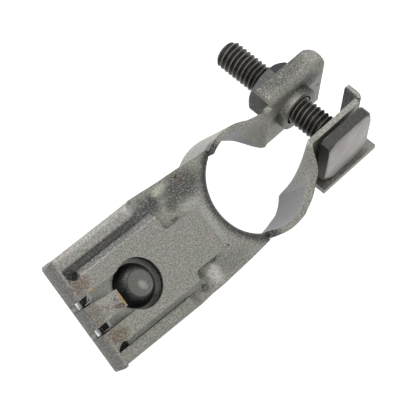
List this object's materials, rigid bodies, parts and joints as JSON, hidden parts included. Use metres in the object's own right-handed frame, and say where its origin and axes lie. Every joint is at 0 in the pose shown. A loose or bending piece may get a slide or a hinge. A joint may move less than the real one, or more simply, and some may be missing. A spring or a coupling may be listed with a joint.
{
  "type": "battery terminal clamp",
  "caption": "Stamped battery post clamp with a split collar, slanted ears pulled together by a square-head bolt and hex nut, and a folded tail holding an upright cable stud.",
  "frame": {"origin": "on the axis of the post bore, level with the top of the deck, which is the end of the bore that goes onto the post first", "axes": "+Z along the bore axis, away from the collar and the stud; +X from the tail to the ears; +Y the nut's side"},
  "size_m": [0.0736, 0.0344, 0.0233],
  "materials": {
    "plated_sheet": "matt tin plate, worn and stained",
    "stud_steel": "dark plated steel",
    "bolt_steel": "dull plated steel",
    "nut_steel": "dull plated steel"
  },
  "bodies": {
    "root": {"clamp_body": "plated_sheet", "cable_stud": "stud_steel"},
    "bolt": {"clamp_bolt": "bolt_steel"},
    "nut": {"clamp_nut": "nut_steel"}
  },
  "joints": [
    {"name": "nut_spin", "type": "hinge", "parent": "root", "child": "nut", "pos_m": [0.0183, 0.0062, -0.006], "axis": [0.0383, -0.878, 0.4772], "range_deg": [-901, 343]},
    {"name": "bolt_slide", "type": "slide", "parent": "root", "child": "bolt", "axis": [0.0383, -0.878, 0.4772], "range_m": [-0.00095, 0.0025]}
  ],
  "couplings": [
    {"joint": "nut_spin", "follows": "bolt_slide", "rad_per_m": -6283.2}
  ]
}
